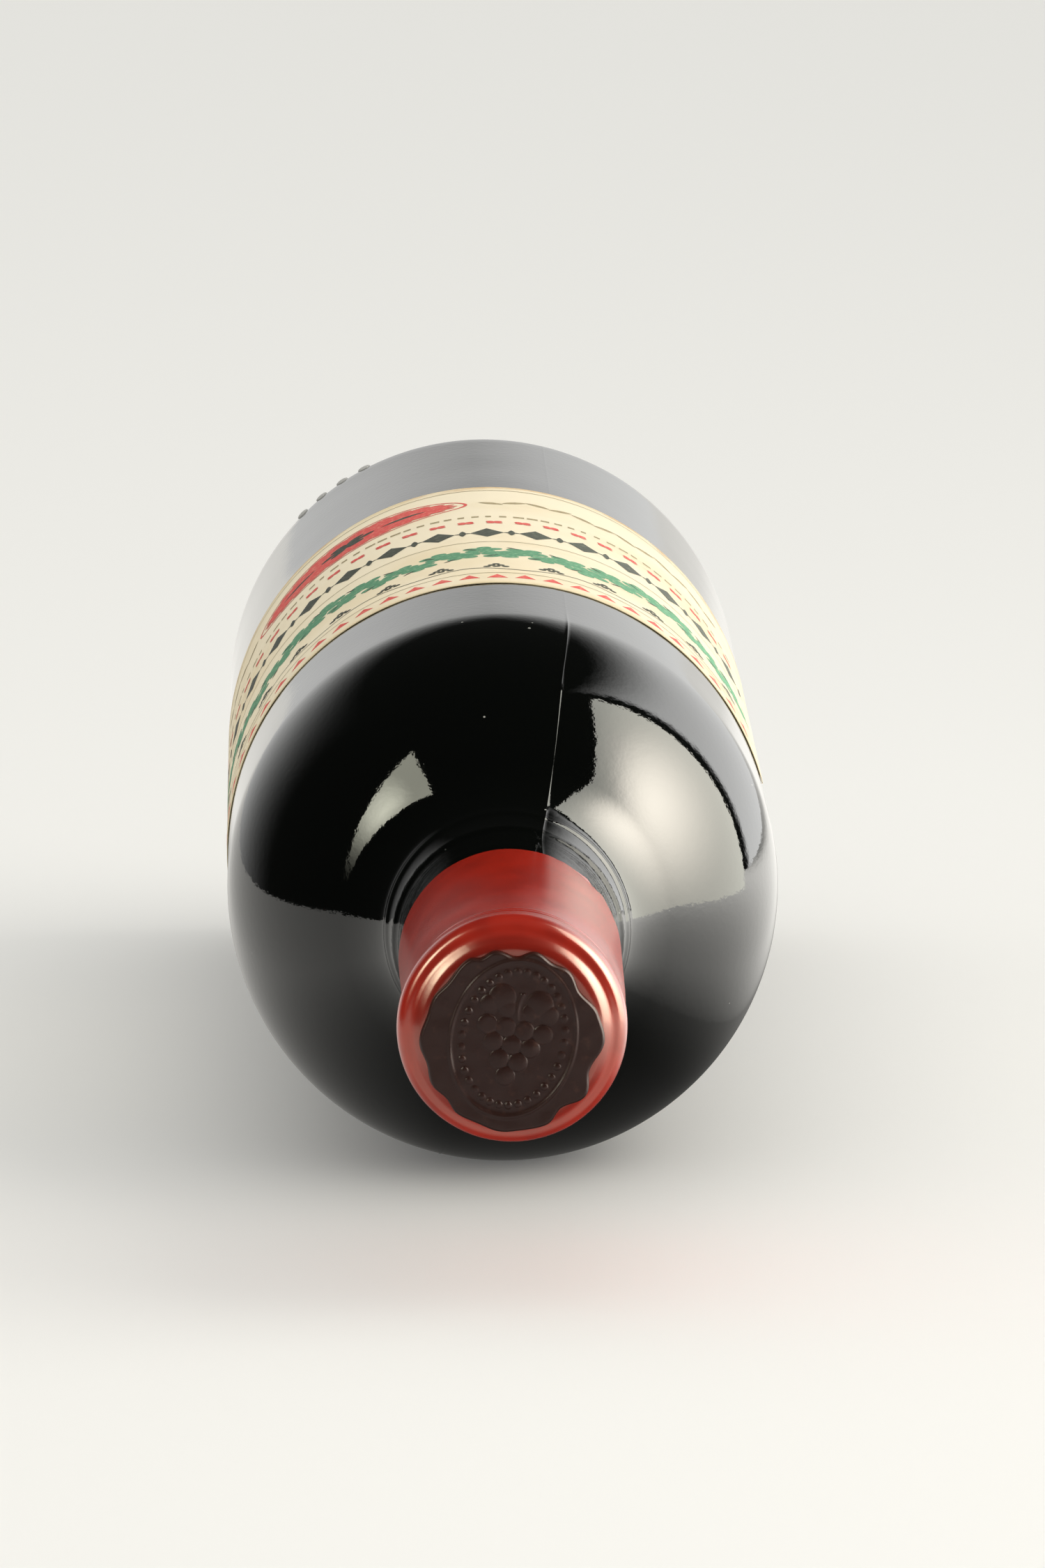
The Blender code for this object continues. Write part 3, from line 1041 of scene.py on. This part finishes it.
@dataclass
class FrontLabel:
    """The paper label and its generic print: a vine garland, rules, lozenges and a medallion.

    Places on it are (side, down): side from its middle line towards +X, down from its edge at the neck.
    The builder's own design is kept as such places in the methods that draw it.
    """

    near: float = 142.6
    height: float = 96.0
    width: float = 116.0
    middle: float = math.radians(-12.0)
    gap: float = 0.05
    thickness: float = 0.1
    ink_lift: float = 0.02
    step: float = 1.5
    ripple: float = 0.03
    cells: tuple[int, int] = (120, 48)
    shapes: list[tuple[Ink, Pair, list[Pair]]] = field(default_factory=list)

    def point(self, side: float, down: float, lift: float) -> Vector:
        """World position of a place on the label.

        Args:
            side: distance from the middle line, towards +X.
            down: distance from the edge at the neck.
            lift: height over the paper's face.

        Returns:
            The position in metres.
        """
        outer = FRAME.radius + self.gap + self.thickness
        ripple = self.ripple * noise.noise(Vector((side / 9.0, down / 13.0, 0.0)))
        return FRAME.point(self.near + down, outer + ripple + lift, self.middle + side / FRAME.radius)

    def paper(self) -> bpy.types.Object:
        """The sheet itself, a thin closed solid with a slight ripple.

        Returns:
            The object.
        """
        bm = bmesh.new()
        loops = []
        across, lengthways = self.cells
        sides = [self.width * (i / across - 0.5) for i in range(across + 1)]
        for lift in (0.0, -self.thickness):
            rows = []
            for j in range(lengthways + 1):
                down = self.height * j / lengthways
                rows.append([bm.verts.new(self.point(side, down, lift)) for side in sides])
            grid_faces(bm, rows, closed=False)
            right, left = [row[-1] for row in rows[1:]], [row[0] for row in rows[-2:0:-1]]
            loops.append(rows[0] + right + rows[-1][-2::-1] + left)
        grid_faces(bm, loops, closed=True)
        bmesh.ops.recalc_face_normals(bm, faces=bm.faces)
        return mesh_object("label_paper", bm, 50)

    def draw(self, ink: Ink, centre: Pair, outline: Iterable[Pair]) -> None:
        """Adds one filled shape of ink, whose whole outline can be seen from its centre.

        Args:
            ink: the ink.
            centre: (side, down) of the centre.
            outline: its outline as offsets from the centre.
        """
        self.shapes.append((ink, centre, list(outline)))

    def lobed(self, ink: Ink, centre: Pair, size: Pair, lobes: int, depth: float, turn: float = 0.0) -> None:
        """Adds an oval with a lobed edge; with no depth it is a plain oval.

        Args:
            ink: the ink.
            centre: (side, down) of the centre.
            size: half width and half height.
            lobes: number of lobes round it.
            depth: how deep the notches are, as a share of the radius.
            turn: angle it is turned by.
        """
        steps = max(12, round(8 * lobes) if depth else round(8 * max(size)))
        outline = []
        for i in range(steps):
            a = 2 * math.pi * i / steps
            reach = 1 - depth * (1 - abs(math.cos(lobes * a / 2)) ** 0.7)
            outline.append(rotated(size[0] * reach * math.cos(a), size[1] * reach * math.sin(a), turn))
        self.draw(ink, centre, outline)

    def blade(self, ink: Ink, centre: Pair, length: float, width: float, turn: float) -> None:
        """Adds a pointed leaf.

        Args:
            ink: the ink.
            centre: (side, down) of its middle.
            length: from tip to tip.
            width: across its middle.
            turn: angle it is turned by from the side direction.
        """
        shares = [i / 8 for i in range(8)]
        places = [(t, width / 2) for t in shares] + [(1 - t, -width / 2) for t in shares]
        bend = [((t - 0.5) * length, half * math.sin(math.pi * t) ** 0.8) for t, half in places]
        self.draw(ink, centre, [rotated(x, y, turn) for x, y in bend])

    def box(self, ink: Ink, left: float, top: float, wide: float, tall: float) -> None:
        """Adds a small upright rectangle."""
        x, y = wide / 2, tall / 2
        self.draw(ink, (left + x, top + y), [(-x, -y), (x, -y), (x, y), (-x, y)])

    def ribbon(self, ink: Ink, path: Sequence[Pair], thickness: float) -> None:
        """Adds a line across the label.

        Args:
            ink: the ink.
            path: the (side, down) points it goes through.
            thickness: its thickness.
        """
        for (a, b), (c, d) in zip(path, path[1:]):
            middle = ((a + c) / 2, (b + d) / 2)
            x, y, t = (c - a) / 2, (d - b) / 2, thickness / 2
            self.draw(ink, middle, [(-x, -y - t), (x, y - t), (x, y + t), (-x, -y + t)])

    def rule(self, ink: Ink, down: float, thickness: float, half: float) -> None:
        """Adds a straight line across the label, to that distance on each side."""
        count = round(2 * half / self.step)
        self.ribbon(ink, [(-half + 2 * half * i / count, down) for i in range(count + 1)], thickness)

    def ring(self, ink: Ink, centre: Pair, size: Pair, thickness: float) -> None:
        """Adds an oval line.

        Args:
            ink: the ink.
            centre: (side, down) of the oval's centre.
            size: half width and half height of its outer edge.
            thickness: the line's thickness.
        """
        steps = round(7 * max(size))
        for i in range(steps):
            quad = []
            for step, thin in ((i, 0.0), (i + 1, 0.0), (i + 1, thickness), (i, thickness)):
                a = 2 * math.pi * step / steps
                quad.append(((size[0] - thin) * math.cos(a), (size[1] - thin) * math.sin(a)))
            x, y = (sum(p[k] for p in quad) / 4 for k in (0, 1))
            self.draw(ink, (centre[0] + x, centre[1] + y), [(a - x, b - y) for a, b in quad])

    def design(self) -> None:
        """Draws the whole print, from the edge at the neck to the far one."""
        rng = random.Random(5)
        for i in range(27):
            side = (i - 13) * 3.9
            self.draw(Ink.RED, (side, 6.0), [(-1.5, -1.4), (1.5, -1.4), (0.0, 1.8)])
        self.rule(Ink.SEPIA, 9.4, 0.3, 54)
        self.berries()
        self.garland(rng)
        self.rule(Ink.SEPIA, 40.0, 0.3, 52)
        self.frieze()
        self.medallion((-14.0, 78.5))
        for i in range(50):
            side = (i - 24.5) * 2.0
            self.box(Ink.SEPIA, side, 64.6, rng.uniform(0.7, 1.6), 1.3)
        self.sprays()
        self.rule(Ink.SEPIA, 92.4, 0.35, 50)

    def berries(self) -> None:
        """Draws a fine dark string of berries in small bunches."""
        self.ribbon(Ink.BLACK, [(i * 1.5, 13.5 + 0.9 * math.sin(i * 0.62)) for i in range(-34, 35)], 0.3)
        for k in range(-6, 7):
            for row, count in enumerate((3, 2, 1)):
                for i in range(count):
                    at = (k * 7.8 + (i - (count - 1) / 2) * 1.3, 15.4 + row * 1.15)
                    self.lobed(Ink.BLACK, at, (0.55, 0.55), 1, 0.0)

    def garland(self, rng: random.Random) -> None:
        """Draws the green garland of overlapping vine leaves on a waving stem.

        Args:
            rng: the source of the leaves' sizes, places and turns.
        """
        path = [(i * 1.0, 28.0 + 1.8 * math.sin(i / 4.2)) for i in range(-53, 54)]
        self.ribbon(Ink.GREEN, path, 1.1)
        for i in range(2, len(path) - 2, 3):
            side, down = path[i]
            way = 1 if (i // 3) % 2 else -1
            size = rng.uniform(2.9, 3.7)
            at = (side, down + way * rng.uniform(1.4, 2.4))
            self.lobed(Ink.GREEN, at, (size, size * 0.95), 5, 0.42, rng.uniform(0, 6))
            self.blade(Ink.BLACK, (side + 1.4, down - way * 3.6), 2.6, 0.5, way * 0.8)

    def frieze(self) -> None:
        """Draws the bold dark frieze: lozenges with small crosses between them."""
        for i in range(-7, 8):
            side = i * 7.0
            self.draw(Ink.BLACK, (side, 49.0), [(-2.4, 0.0), (0.0, -4.2), (2.4, 0.0), (0.0, 4.2)])
            self.blade(Ink.BLACK, (side + 3.5, 49.0), 5.0, 1.0, math.pi / 2)
            self.blade(Ink.BLACK, (side + 3.5, 49.0), 2.6, 0.8, 0.0)
        for i in range(-12, 13):
            self.lobed(Ink.RED, (i * 4.1, 59.5), (1.35, 1.5), 4, 0.5, 0.785)

    def medallion(self, centre: Pair) -> None:
        """Draws the red medallion with a scalloped edge and a dark flower.

        Args:
            centre: (side, down) of its centre.
        """
        self.ring(Ink.RED, centre, (18.6, 8.4), 0.5)
        self.lobed(Ink.RED, centre, (17.2, 7.4), 26, 0.1)
        self.lobed(Ink.BLACK, centre, (4.6, 3.4), 6, 0.5)
        for side in (-1, 1):
            self.blade(Ink.BLACK, (centre[0] + side * 9.0, centre[1]), 7.0, 1.6, 0.0)

    def sprays(self) -> None:
        """Draws a leafy spray on each side of the medallion."""
        for start, count, side in ((-35.0, 5, -1), (8.0, 12, 1)):
            for i in range(count):
                at = (start + side * 3.4 * i, 79.0 + 1.2 * math.sin(i * 0.9))
                self.blade(Ink.SEPIA, at, 4.4, 1.5, side * (0.6 if i % 2 else -0.6))

    def print(self) -> bpy.types.Object:
        """Lays the shapes of ink on the paper as thin pieces that follow its curve.

        Returns:
            The object.
        """
        bm = bmesh.new()
        order = {Ink.GREEN: 0, Ink.SEPIA: 1, Ink.RED: 2, Ink.BLACK: 3}
        for ink, centre, outline in self.shapes:
            lift = self.ink_lift * (1 + 0.4 * order[ink])
            hub = bm.verts.new(self.point(*centre, lift))
            rings = max(1, math.ceil(max(abs(x) for x, _ in outline) / self.step))
            last = None
            for k in range(1, rings + 1):
                share = k / rings
                places = [(centre[0] + x * share, centre[1] + y * share) for x, y in outline]
                row = [bm.verts.new(self.point(*place, lift)) for place in places]
                for i, vert in enumerate(row):
                    j = (i + 1) % len(row)
                    corners = (hub, vert, row[j]) if last is None else (last[i], vert, row[j], last[j])
                    bm.faces.new(corners).material_index = ink.value
                last = row
        for face in bm.faces:
            face.normal_update()
            out = face.calc_center_median()
            if face.normal.dot(Vector((out.x, 0.0, out.z - FRAME.axis * MM))) < 0:
                face.normal_flip()
        return mesh_object("label_print", bm, 50)

    def build(self) -> None:
        """Builds the paper and the print, and dresses them."""
        paper = self.paper()
        near = (FRAME.top + self.near) * MM
        dress(paper, Slot.PAPER, ["front_label"], LabelPaper().make(near, near + self.height * MM))
        self.design()
        dress(self.print(), Slot.PAPER, [], *(INKS[ink].make() for ink in Ink))


@dataclass
class Softbox:
    """An upright fabric-fronted light, brighter where its lamps are.

    Its panel shows in reflections alone, and a copy of it lights matt surfaces, weaker than the panel
    looks, as the photo's exposure has it. Places are in metres, from the shoulder's middle on the table.

    Args:
        name: the object's name.
        middle: the panel's middle.
        facing: the way it looks.
        size: width and height.
        fabric: brightness of the plain fabric.
        spots: hot places as (x, y, radius, extra brightness), x and y from the panel's middle.
        light: brightness towards matt surfaces.
        foot: height of the stretch at the lower edge over which the panel fades out.
        tints: colour of the fabric and of the hot places.
        white: colour of the light on matt surfaces.
        copy_away: how many times as far off and as large the copy is.
        shoulder: distance of the shoulder's middle from the capsule's top, in millimetres.
    """

    name: str
    middle: Vector
    facing: Vector
    size: Pair
    fabric: float
    spots: Sequence[tuple[float, float, float, float]]
    light: float
    foot: float = 0.001
    tints: tuple[str, str] = ("E6E6DA", "FFF5E6")
    white: str = "FEFAF4"
    copy_away: float = 2.2
    shoulder: float = 95.0

    def panel(self, name: str, material: bpy.types.Material, away: float) -> bpy.types.Object:
        """Builds one flat panel of the studio.

        Args:
            name: the object's name.
            material: what it glows with.
            away: how many times as far off and as large it is, which covers the same view.

        Returns:
            The object.
        """
        bm = bmesh.new()
        bmesh.ops.create_grid(bm, x_segments=1, y_segments=1, size=0.5)
        obj = mesh_object(name, bm)
        obj.location = Vector((0.0, FRAME.centre(self.shoulder).y, 0.0)) + self.middle * away
        obj.rotation_euler = self.facing.to_track_quat("Z", "Y").to_euler()
        obj.scale = (self.size[0] * away, self.size[1] * away, 1.0)
        obj.data.materials.append(material)
        obj.visible_camera = False
        obj.visible_shadow = False
        return obj

    def look(self) -> bpy.types.Material:
        """The lit fabric, with its lamps' hot places and the fade at its foot.

        Returns:
            The material.
        """
        s = Shader(self.name)
        place = s.add("TexCoord", output="Object")
        side, height = s.add("SeparateXYZ", (place,), "X"), s.add("SeparateXYZ", (place,), "Y")
        hot = 0.0
        for x, y, radius, extra in self.spots:
            across = s.add("Math", (side, self.size[0] / radius, -x / radius), operation="MULTIPLY_ADD")
            up = s.add("Math", (height, self.size[1] / radius, -y / radius), operation="MULTIPLY_ADD")
            away = s.add("VectorMath", (s.add("CombineXYZ", (across, up)),), "Value", operation="LENGTH")
            lamp = s.add("MapRange", (away, 1.0, 0.0, 0.0, extra), **SMOOTH)
            hot = s.add("Math", (hot, lamp), operation="ADD")
        whole = s.add("Math", (hot, self.fabric), operation="ADD")
        share = s.add("Math", (hot, whole), operation="DIVIDE")
        colour = s.add("Mix", {0: share, 6: linear(self.tints[0]), 7: linear(self.tints[1])}, 2, **COLOURS)
        fade = s.add("MapRange", (height, -0.5, -0.5 + self.foot / self.size[1]), **SMOOTH)
        return s.glow(colour, s.add("Math", (whole, fade), operation="MULTIPLY"))

    def build(self) -> None:
        """Builds the panel that reflections see and the one that lights matt surfaces."""
        self.panel(self.name, self.look(), 1.0).visible_diffuse = False
        name = self.name + "_light"
        glow = Shader(name).glow(linear(self.white), self.light)
        self.panel(name, glow, self.copy_away).visible_glossy = False


@dataclass(frozen=True)
class OpalTable:
    """Opal acrylic sheet, cast and lit from below. The eye gets an even pale matt top."""

    white: str = "DFDFDC"
    lamp: str = "F3F2EF"
    backlight: float = 0.12
    roughness: float = 0.9
    gloss: float = 0.2

    def make(self) -> bpy.types.Material:
        """Builds the acrylic.

        Returns:
            The material.
        """
        s = Shader("backlit_opal_acrylic")
        s.set(Base_Color=linear(self.white), Roughness=self.roughness, Specular_IOR_Level=self.gloss)
        s.set(Emission_Color=linear(self.lamp), Emission_Strength=self.backlight)
        return s.material


@dataclass(frozen=True)
class TableSheen:
    """The table as the glass mirrors it, painted as a glow: painted shade under the bottle, with a painted
    sheen towards the right light.

    Args:
        white: its colour.
        under: brightness right under the bottle.
        open: how much brighter the open table is.
        keel: X over which the shade's start moves from the left to the right, each way.
        shade: X where the shade starts to lift on the right and where it has gone on both sides.
        behind: Y where the shade starts to lift and has gone behind the bottle.
        before: the same in front of it.
        rise: how fast the sheen grows with X.
        rise_offset: shifts where it starts.
        rise_curve: power of its growth.
        level: its strength.
        level_most: the brightest it gets.
        middle: Y of its middle.
        reach: distance from there at which it has faded out.
    """

    white: str = "F6F4EE"
    under: float = 0.1
    open: float = 0.95
    keel: float = 0.02
    shade: Pair = (0.03, 0.098)
    behind: Pair = (0.15, 0.3)
    before: Pair = (-0.145, -0.175)
    rise: float = 2.0
    rise_offset: float = -0.11
    rise_curve: float = 0.7
    level: float = 5.0
    level_most: float = 5.5
    middle: float = -0.054
    reach: float = 0.9

    def make(self) -> bpy.types.Material:
        """Builds the glow.

        Returns:
            The material.
        """
        s = Shader("table_in_reflections")
        place = s.add("TexCoord", output="Object")
        x, y = s.add("SeparateXYZ", (place,), "X"), s.add("SeparateXYZ", (place,), "Y")
        start = s.add("MapRange", (x, -self.keel, self.keel, 0.0, self.shade[0]), **SMOOTH)
        aside = s.add("Math", (x,), operation="ABSOLUTE")
        beside = s.add("MapRange", (aside, start, self.shade[1]), **SMOOTH)
        ends = [s.add("MapRange", (y, *stretch), **SMOOTH) for stretch in (self.behind, self.before)]
        beyond = s.add("Math", ends, operation="MAXIMUM")
        clear = s.add("Math", (beside, beyond), operation="MAXIMUM")
        lit = s.add("Math", (clear, self.open, self.under), operation="MULTIPLY_ADD")
        growing = s.add("Math", (x, self.rise, self.rise_offset), operation="MULTIPLY_ADD")
        grown = s.add("Math", (growing, 0.0), operation="MAXIMUM")
        near_light = s.add("Math", (grown, self.rise_curve), operation="POWER")
        from_middle = s.add("Math", (y, self.middle), operation="SUBTRACT")
        away = s.add("Math", (from_middle,), operation="ABSOLUTE")
        level = s.add("MapRange", (away, self.reach, 0.0, 0.0, self.level), **SMOOTH)
        sheen = s.add("Math", (near_light, level), operation="MULTIPLY")
        held = s.add("Math", (sheen, self.level_most), operation="MINIMUM")
        return s.glow(linear(self.white), s.add("Math", (lit, held), operation="ADD"))


@dataclass(frozen=True)
class FarRoom:
    """The far room in reflections: a pale wall behind the bottle, and darkness beside and above it.

    The wall is brighter and reaches higher towards the right light, and ends before both lights. Angles
    are in degrees, with the turn to each side counted from straight behind the bottle.

    Args:
        white: its colour.
        level: the wall's brightness straight behind.
        right_level: how much brighter it is at right_turn.
        right_turn: that turn.
        right_curve: power of that growth.
        right_end: turns where it has ended and is still whole, to the right.
        left_end: the same to the left.
        top: height of its upper edge, and how that grows with the turn to the right and to the left.
        soft: height over which that edge fades, and how it grows likewise.
        dark: brightness of the rest.
    """

    white: str = "F4F4F2"
    level: float = 0.87
    right_level: float = 3.4
    right_turn: float = 50.0
    right_curve: float = 1.5
    right_end: Pair = (56.0, 52.0)
    left_end: Pair = (66.0, 22.0)
    top: tuple[float, float, float] = (23.0, 0.84, 0.4)
    soft: tuple[float, float, float] = (21.0, 0.2, 0.15)
    dark: float = 0.02

    def make(self, g: Graph) -> bpy.types.NodeSocket:
        """Adds the room to the world's nodes.

        Args:
            g: the world's nodes.

        Returns:
            The room's background shader.
        """
        way = g.add("TexCoord", output="Generated")
        x, y, z = (g.add("SeparateXYZ", (way,), axis) for axis in "XYZ")
        turn = g.add("Math", (g.add("Math", (x, y), operation="ARCTAN2"),), operation="DEGREES")
        rise = g.add("Math", (g.add("Math", (z,), operation="ARCSINE"),), operation="DEGREES")
        right = g.add("Math", (turn, 0.0), operation="MAXIMUM")
        back = g.add("Math", (turn, -1.0), operation="MULTIPLY")
        left = g.add("Math", (back, 0.0), operation="MAXIMUM")
        share = g.add("Math", (right, self.right_turn), operation="DIVIDE")
        growth = g.add("Math", (share, self.right_curve), operation="POWER")
        wall = g.add("Math", (growth, self.right_level, self.level), operation="MULTIPLY_ADD")
        edges = []
        for start, by_right, by_left in (self.top, self.soft):
            partly = g.add("Math", (right, by_right, start), operation="MULTIPLY_ADD")
            edges.append(g.add("Math", (left, by_left, partly), operation="MULTIPLY_ADD"))
        below = g.add("Math", (edges[0], rise), operation="SUBTRACT")
        limits = ((right, *self.right_end), (left, *self.left_end), (below, 0.0, edges[1]))
        for limit in limits:
            wall = g.add("Math", (wall, g.add("MapRange", limit, **SMOOTH)), operation="MULTIPLY")
        strength = g.add("Math", (wall, self.dark), operation="ADD")
        return g.add("Background", {"Color": linear(self.white), "Strength": strength})


@dataclass
class Studio:
    """A pale table, two softboxes, the room's even light, the far room and the camera.

    Lengths are in metres, but for the camera's place and aim, which are in millimetres.
    """

    reach: float = 7.0
    sheen_span: Pair = (-0.37, 0.9)
    sheen_depth: float = 0.0002
    white: str = "FBFAF7"
    room: float = 1.11
    room_over: float = 0.6
    room_behind: float = 0.22
    overhead: float = 1.08
    overhead_half: float = 0.7
    overhead_place: tuple[float, float, float] = (0.0, -0.45, 1.3)
    wall: str = "E6E5E1"
    lens: float = 325.47
    sensor: float = 36.0
    camera_from: float = 2.4
    camera_place: tuple[float, float, float] = (-31.88, -1818.06, 325.14)
    camera_turn: Pair = (80.8482, -1.0276)

    def plane(self, name: str, span: Pair, height: float, material: bpy.types.Material) -> bpy.types.Object:
        """A level plane of the studio.

        Args:
            name: the object's name.
            span: its lowest and highest X.
            height: its Z.
            material: what it is made of.

        Returns:
            The object.
        """
        bm = bmesh.new()
        (left, right), reach = span, self.reach
        corners = ((left, -reach), (right, -reach), (right, reach), (left, reach))
        bm.faces.new([bm.verts.new((x, y, height)) for x, y in corners])
        obj = mesh_object(name, bm)
        obj.data.materials.append(material)
        return obj

    def floor(self) -> None:
        """The pale table top, and a plane just below it that only reflections see in its place."""
        self.plane("table_top", (-self.reach, self.reach), 0.0, OpalTable().make()).visible_glossy = False
        obj = self.plane("table_sheen", self.sheen_span, -self.sheen_depth, TableSheen().make())
        obj.visible_camera = False
        obj.visible_diffuse = False
        obj.visible_shadow = False

    def fill(self) -> None:
        """The white room's light on matt surfaces, a dome that is stronger above and behind the bottle."""
        bm = bmesh.new()
        bmesh.ops.create_icosphere(bm, subdivisions=3, radius=self.reach)
        bmesh.ops.reverse_faces(bm, faces=bm.faces)
        s = Shader("room_light")
        place = s.add("TexCoord", output="Object")
        y, z = s.add("SeparateXYZ", (place,), "Y"), s.add("SeparateXYZ", (place,), "Z")
        over = s.add("Math", (z, self.room_over / self.reach, 1 - self.room_over), operation="MULTIPLY_ADD")
        behind = s.add("Math", (y, self.room_behind / self.reach, 1.0), operation="MULTIPLY_ADD")
        both = s.add("Math", (over, behind), operation="MULTIPLY")
        strength = s.add("Math", (both, self.room), operation="MULTIPLY")
        self.unseen(mesh_object("room_light", bm), s.glow(linear(self.white), strength))

    def ceiling(self) -> None:
        """A square light over the space in front of the bottle, for matt surfaces alone."""
        bm = bmesh.new()
        bmesh.ops.create_grid(bm, x_segments=1, y_segments=1, size=self.overhead_half)
        obj = mesh_object("overhead_light", bm)
        obj.location = self.overhead_place
        obj.rotation_euler = Euler((math.pi, 0.0, 0.0))
        self.unseen(obj, Shader("overhead_light").glow(linear(self.white), self.overhead))

    def unseen(self, obj: bpy.types.Object, glow: bpy.types.Material) -> None:
        """Makes an object a light of the studio for matt surfaces alone.

        Args:
            obj: the object.
            glow: its material.
        """
        obj.data.materials.append(glow)
        obj.visible_camera = False
        obj.visible_glossy = False
        obj.visible_shadow = False

    def world(self) -> None:
        """Pale to the camera; to reflections, the far room."""
        world = bpy.data.worlds.new("studio")
        bpy.context.scene.world = world
        world.use_nodes = True
        world.cycles_visibility.diffuse = False
        world.node_tree.nodes.clear()
        g = Graph(world.node_tree)
        plain = g.add("Background", {"Color": linear(self.wall)})
        seen = g.add("LightPath", output="Is Camera Ray")
        g.add("OutputWorld", {"Surface": g.add("MixShader", (seen, FarRoom().make(g), plain))})

    def camera(self) -> None:
        """A long lens in front of the neck, ten degrees above it."""
        data = bpy.data.cameras.new("camera")
        data.lens = self.lens
        data.sensor_width = self.sensor
        data.clip_end = 60.0
        obj = bpy.data.objects.new("camera", data)
        bpy.context.scene.collection.objects.link(obj)
        obj.location = FRAME.centre(self.camera_from) + Vector(self.camera_place) * MM
        tilt, turn = (math.radians(angle) for angle in self.camera_turn)
        obj.rotation_euler = Euler((tilt, 0.0, turn))
        bpy.context.scene.camera = obj
        bpy.context.scene.view_settings.view_transform = "Standard"

    def softboxes(self) -> tuple[Softbox, Softbox]:
        """The two window-like lights that the glass mirrors.

        Returns:
            The right one and the left one.
        """
        right = Softbox(
            "softbox_right", middle=Vector((0.489, -0.112, 0.40)), facing=Vector((-0.947, -0.322, 0.0)),
            size=(0.68, 0.84), fabric=6.4, light=2.3,
            spots=[(0.01, -0.08, 0.36, 9.5), (0.0, -0.07, 0.56, 5.5)],
        )
        left = Softbox(
            "softbox_left", middle=Vector((-0.7, -0.46, 0.60)), facing=Vector((1.0, 0.0, 0.0)),
            size=(0.44, 1.04), fabric=6.2, light=0.5, foot=0.42,
            spots=[(0.0, -0.09, 0.38, 9.5)], tints=("E8E8D4", "F6F6E0"),
        )
        return right, left

    def build(self) -> None:
        """Sets up the whole studio."""
        self.floor()
        for softbox in self.softboxes():
            softbox.build()
        self.fill()
        self.ceiling()
        self.world()
        self.camera()


def main() -> None:
    """Builds every piece and the studio round them."""
    logging.basicConfig(level=logging.INFO, format="%(name)s: %(message)s")
    for part in (GlassBottle(), Capsule(), Seal(), FrontLabel(), Studio()):
        part.build()
        LOG.info("%s is built", type(part).__name__)


if __name__ == "__main__":
    main()
